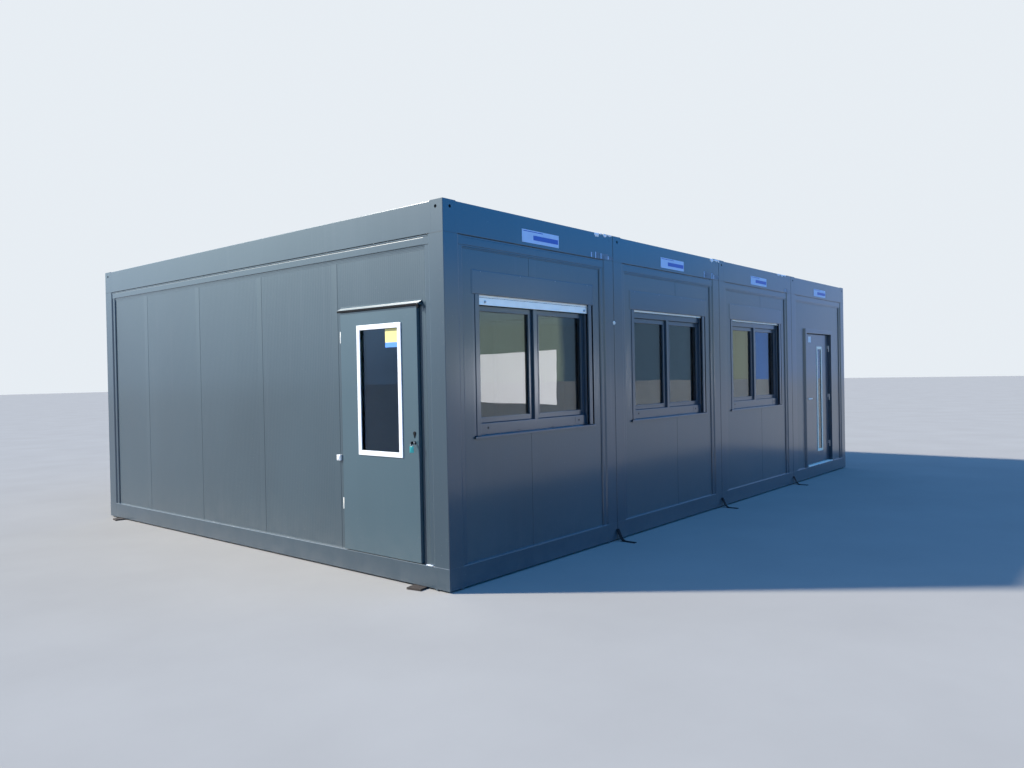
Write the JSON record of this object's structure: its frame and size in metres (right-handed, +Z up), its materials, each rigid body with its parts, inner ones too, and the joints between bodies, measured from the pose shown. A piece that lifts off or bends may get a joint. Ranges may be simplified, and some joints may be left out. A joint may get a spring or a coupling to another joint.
{
  "type": "linked portable site cabin",
  "caption": "Single-storey site cabin of linked flat-roofed steel modules with shuttered windows, an end door and a front door.",
  "frame": {"origin": "centre of the footprint, on the ground, under the middle packer", "axes": "+X along the windowed front from the left end to the front door, front facing -Y, +Z up"},
  "size_m": [9.975, 6.265, 3.105],
  "materials": {
    "frame_paint": "satin",
    "panel_paint": "satin",
    "galvanised": "dull",
    "deck_board": "matt",
    "ceiling_white": "satin",
    "window_frame": "satin",
    "pane": "clear",
    "silver": "satin",
    "white_bead": "satin",
    "hinge_steel": "satin",
    "door_paint": "satin",
    "seal_rubber": "matt",
    "packer_board": "matt"
  },
  "bodies": {
    "root": {"back_wall": "panel_paint", "base_packers": "packer_board", "bottom_castings": "frame_paint", "ceilings": "ceiling_white", "corner_posts": "frame_paint", "door_thresholds": "silver", "floor_decks": "deck_board", "floor_frame_1": "frame_paint", "floor_frame_2": "frame_paint", "floor_frame_3": "frame_paint", "floor_frame_4": "frame_paint", "floor_joists": "galvanised", "front_door_head": "frame_paint", "front_door_hinge_arms": "hinge_steel", "front_door_jambs": "frame_paint", "front_head_panels": "panel_paint", "front_side_panels": "panel_paint", "front_sill_panels": "panel_paint", "inner_joint_covers": "ceiling_white", "joint_seals": "seal_rubber", "left_door_catch": "white_bead", "left_door_head": "frame_paint", "left_door_hinge_arms": "hinge_steel", "left_door_jambs": "frame_paint", "left_wall": "panel_paint", "left_wall_over_door": "panel_paint", "rain_cap": "frame_paint", "right_wall": "panel_paint", "roof_frame_1": "frame_paint", "roof_frame_2": "frame_paint", "roof_frame_3": "frame_paint", "roof_frame_4": "frame_paint", "roof_joint_caps": "frame_paint", "roof_sheets": "galvanised", "shutter_boxes": "frame_paint", "shutter_guides": "frame_paint", "shutter_slats": "silver", "top_castings": "frame_paint", "window_frames": "window_frame", "window_glass": "pane", "window_sashes": "window_frame", "window_sills": "frame_paint"},
    "left_door": {"left_door_leaf": "door_paint", "left_door_glass": "pane", "left_door_beads": "white_bead", "left_door_hinges": "hinge_steel", "left_door_lock": "silver"},
    "front_door": {"front_door_leaf": "door_paint", "front_door_glass": "pane", "front_door_beads": "silver", "front_door_hinges": "hinge_steel", "front_door_handle": "silver"}
  },
  "joints": [
    {"name": "left_door_hinge", "type": "hinge", "parent": "root", "child": "left_door", "pos_m": [-4.87, -1.7215, 1.335], "axis": [0, 0, -1], "range_deg": [0, 110]},
    {"name": "front_door_hinge", "type": "hinge", "parent": "root", "child": "front_door", "pos_m": [4.1925, -2.9895, 1.25], "axis": [0, 0, 1], "range_deg": [0, 100]}
  ]
}
